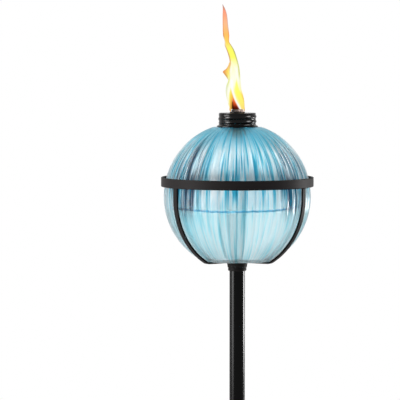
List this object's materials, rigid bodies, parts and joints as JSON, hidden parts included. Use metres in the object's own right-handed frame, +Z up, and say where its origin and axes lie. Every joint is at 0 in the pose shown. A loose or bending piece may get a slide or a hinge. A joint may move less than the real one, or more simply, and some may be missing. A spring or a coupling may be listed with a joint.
{
  "type": "garden torch",
  "caption": "Garden torch with a ribbed blue glass oil globe in a black steel cradle on a take-apart pole with a ground spike.",
  "frame": {"origin": "on the pole's axis at ground level, where the spike's shank meets the soil", "axes": "+Z up along the pole; -Y is the front, between the two front straps"},
  "size_m": [0.1556, 0.1556, 1.6369],
  "materials": {
    "pole_black": "gloss",
    "cage_black": "satin",
    "cap_black": "gloss",
    "blue_glass": "gloss",
    "oil": "gloss",
    "gasket": "matte",
    "wick": "matte",
    "flame": "matte"
  },
  "bodies": {
    "stake": {"lower_pole": "pole_black", "ground_spike": "pole_black", "step_prong": "pole_black"},
    "mid_section": {"middle_pole": "pole_black"},
    "top_section": {"upper_pole": "pole_black"},
    "cradle": {"socket_collar": "cage_black", "head_spigot": "cage_black", "cage_ring": "cage_black", "cage_strap_front_left": "cage_black", "cage_strap_front_right": "cage_black", "cage_strap_rear": "cage_black"},
    "globe": {"glass_globe": "blue_glass", "lamp_oil": "oil"},
    "gasket": {"cap_gasket": "gasket"},
    "cap": {"screw_cap": "cap_black", "wick_tube": "cap_black"},
    "wick": {"wick": "wick", "flame": "flame"}
  },
  "joints": [
    {"name": "middle_section_pull", "type": "slide", "parent": "stake", "child": "mid_section", "axis": [0, 0, 1], "range_m": [0, 0.045]},
    {"name": "top_section_pull", "type": "slide", "parent": "mid_section", "child": "top_section", "axis": [0, 0, 1], "range_m": [0, 0.045]},
    {"name": "cradle_pull", "type": "slide", "parent": "top_section", "child": "cradle", "axis": [0, 0, 1], "range_m": [0, 0.045]},
    {"name": "globe_lift", "type": "slide", "parent": "cradle", "child": "globe", "axis": [0, 0, 1], "range_m": [0, 0.11]},
    {"name": "cap_rise", "type": "slide", "parent": "globe", "child": "gasket", "axis": [0, 0, 1], "range_m": [0, 0.0125]},
    {"name": "cap_turn", "type": "hinge", "parent": "gasket", "child": "cap", "pos_m": [0, 0, 1.3243], "axis": [0, 0, 1], "range_deg": [0, 900]},
    {"name": "wick_draw", "type": "slide", "parent": "cap", "child": "wick", "axis": [0, 0, 1], "range_m": [-0.003, 0.02]}
  ],
  "couplings": [
    {"joint": "cap_rise", "follows": "cap_turn", "m_per_rad": 0.00079577}
  ]
}
